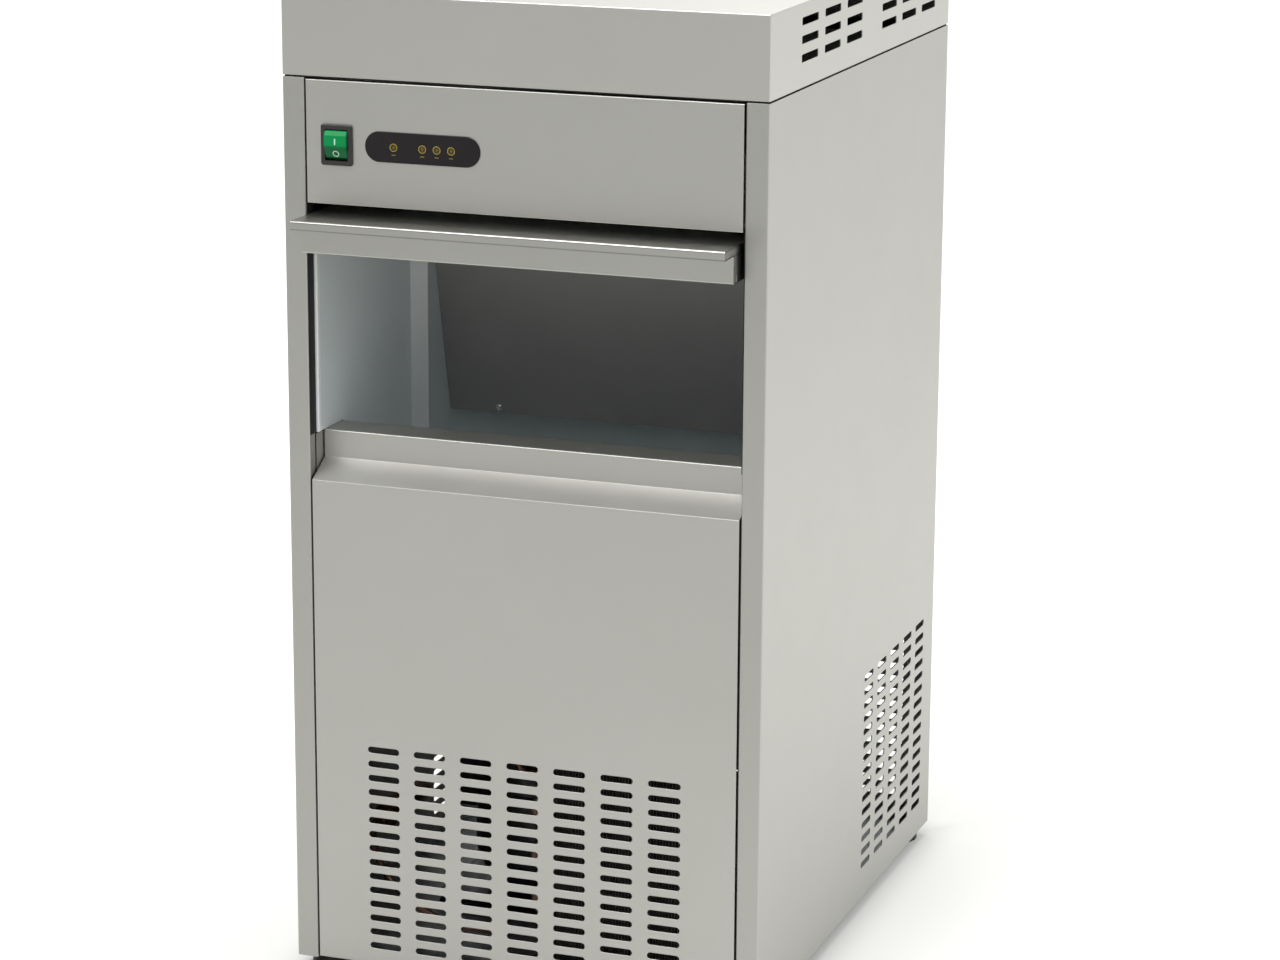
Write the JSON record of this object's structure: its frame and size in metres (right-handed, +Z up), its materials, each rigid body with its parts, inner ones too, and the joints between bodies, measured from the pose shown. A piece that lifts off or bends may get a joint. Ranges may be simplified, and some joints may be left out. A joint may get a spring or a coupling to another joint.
{
  "type": "crushed ice maker",
  "caption": "Free-standing crushed ice maker: a stainless cabinet with an insulated bin behind a door that slides away under the controls, air slots, and the ice machine inside.",
  "frame": {"origin": "on the floor, under the middle of the outline's box, with the door's lip in front and the fittings behind counted in it", "axes": "+X to the right seen from the front, +Y to the back, +Z up"},
  "size_m": [0.4, 0.562, 0.81],
  "materials": {
    "stainless": "satin",
    "galvanised": "satin",
    "cast_aluminium": "matte",
    "fin_aluminium": "matte",
    "black_enamel": "satin",
    "copper": "satin",
    "brass": "satin",
    "liner_plastic": "satin",
    "white_plastic": "satin",
    "grey_plastic": "matte",
    "black_plastic": "satin",
    "black_window": "satin",
    "lamp_lens": "gloss",
    "green_rocker": "gloss",
    "board_green": "satin",
    "black_rubber": "matte",
    "foam": "matte"
  },
  "bodies": {
    "root": {"left_side_panel": "stainless", "right_side_panel": "stainless", "rear_panel": "stainless", "top_lid": "stainless", "control_panel": "stainless", "lower_front_panel": "stainless", "base_pan": "galvanised", "control_box": "galvanised", "gear_stand": "galvanised", "fan_bracket": "galvanised", "gearbox": "cast_aluminium", "evaporator_barrel": "cast_aluminium", "condenser": "fin_aluminium", "gear_motor": "black_enamel", "compressor": "black_enamel", "compressor_mount": "black_enamel", "fan_motor": "black_enamel", "fan_shroud": "black_enamel", "filter_drier": "copper", "discharge_tube": "copper", "suction_tube": "copper", "liquid_tube": "copper", "ice_level_probe": "copper", "water_inlet_fitting": "brass", "float_valve": "brass", "bin_liner": "liner_plastic", "bin_ceiling": "liner_plastic", "ice_chute": "white_plastic", "water_reservoir": "white_plastic", "water_feed_tube": "white_plastic", "drain_fitting": "white_plastic", "drain_hose": "white_plastic", "drain_outlet": "white_plastic", "ice_deflector": "grey_plastic", "switch_housing": "black_plastic", "track_left": "black_plastic", "track_right": "black_plastic", "cable_gland": "black_plastic", "indicator_window": "black_window", "indicator_lamp_1": "lamp_lens", "indicator_lamp_2": "lamp_lens", "indicator_lamp_3": "lamp_lens", "indicator_lamp_4": "lamp_lens", "control_board": "board_green", "lid_seal": "black_rubber", "bin_insulation": "foam"},
    "door_carriage": {"slider_left": "white_plastic", "slider_right": "white_plastic"},
    "door": {"door_skin": "stainless", "door_core": "grey_plastic", "door_seal_left": "black_rubber", "door_seal_right": "black_rubber"},
    "rocker": {"switch_rocker": "green_rocker"},
    "fan": {"fan_blades": "black_plastic"},
    "auger_shaft": {"auger": "stainless"},
    "float": {"float_arm": "white_plastic"},
    "foot_front_left": {"levelling_foot_front_left": "black_plastic"},
    "foot_front_right": {"levelling_foot_front_right": "black_plastic"},
    "foot_rear_left": {"levelling_foot_rear_left": "black_plastic"},
    "foot_rear_right": {"levelling_foot_rear_right": "black_plastic"}
  },
  "joints": [
    {"name": "door_slide", "type": "slide", "parent": "root", "child": "door_carriage", "axis": [0, -1, 0], "range_m": [0, 0.122]},
    {"name": "door_swing", "type": "hinge", "parent": "door_carriage", "child": "door", "pos_m": [0, -0.0975, 0.6215], "axis": [1, 0, 0], "range_deg": [0, 90]},
    {"name": "switch_rock", "type": "hinge", "parent": "root", "child": "rocker", "pos_m": [-0.1538, -0.2425, 0.6915], "axis": [1, 0, 0], "range_deg": [-23.6, 0]},
    {"name": "fan_spin", "type": "hinge", "parent": "root", "child": "fan", "pos_m": [0.08, -0.166, 0.1035], "axis": [0, 1, 0], "continuous": true},
    {"name": "auger_turn", "type": "hinge", "parent": "root", "child": "auger_shaft", "pos_m": [0.06, 0.168, 0.45], "axis": [0, 0, 1], "continuous": true},
    {"name": "float_swing", "type": "hinge", "parent": "root", "child": "float", "pos_m": [-0.115, 0.21955, 0.672], "axis": [1, 0, 0], "range_deg": [-25, 0]},
    {"name": "foot_turn_front_left", "type": "hinge", "parent": "root", "child": "foot_front_left", "pos_m": [-0.178, -0.222, 0.006], "axis": [0, 0, 1], "continuous": true},
    {"name": "foot_turn_front_right", "type": "hinge", "parent": "root", "child": "foot_front_right", "pos_m": [0.178, -0.222, 0.006], "axis": [0, 0, 1], "continuous": true},
    {"name": "foot_turn_rear_left", "type": "hinge", "parent": "root", "child": "foot_rear_left", "pos_m": [-0.178, 0.241, 0.006], "axis": [0, 0, 1], "continuous": true},
    {"name": "foot_turn_rear_right", "type": "hinge", "parent": "root", "child": "foot_rear_right", "pos_m": [0.178, 0.241, 0.006], "axis": [0, 0, 1], "continuous": true}
  ]
}
